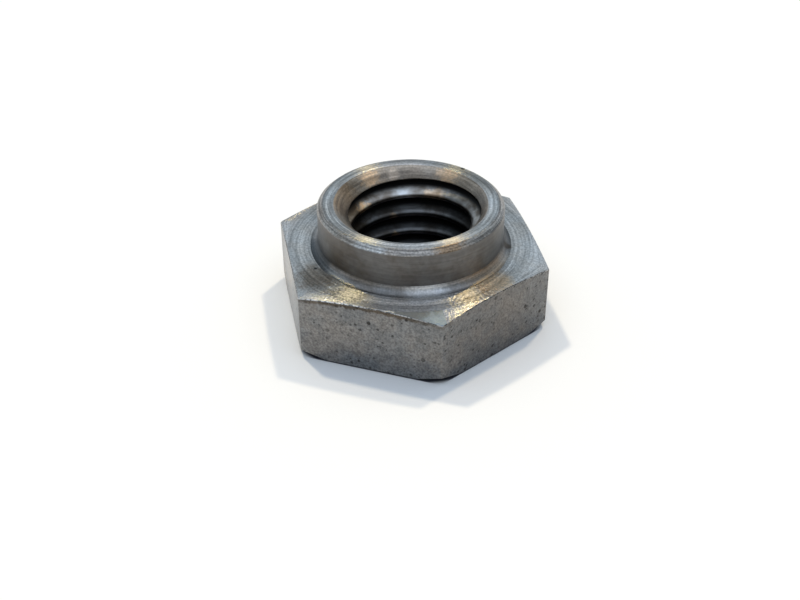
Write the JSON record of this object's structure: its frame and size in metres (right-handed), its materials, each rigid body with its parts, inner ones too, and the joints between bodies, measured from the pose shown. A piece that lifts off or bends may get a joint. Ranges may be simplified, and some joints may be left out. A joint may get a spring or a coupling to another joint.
{
  "type": "hex weld nut",
  "caption": "Hex weld nut with a round pilot collar on one end, countersunk threaded through bore and corner-chamfered hexagon, in bare turned steel.",
  "frame": {"origin": "centre of the bearing face, which is the hexagon's end away from the collar", "axes": "+Z along the thread's axis towards the collar; +X through a corner of the hexagon; +Y across two flats"},
  "size_m": [0.0162, 0.014, 0.0068],
  "materials": {
    "steel": "bare mild steel: fine concentric turning marks on the collar and the faces, duller drawn flats with small dark pits"
  },
  "bodies": {
    "root": {"weld_nut": "steel"}
  },
  "joints": []
}
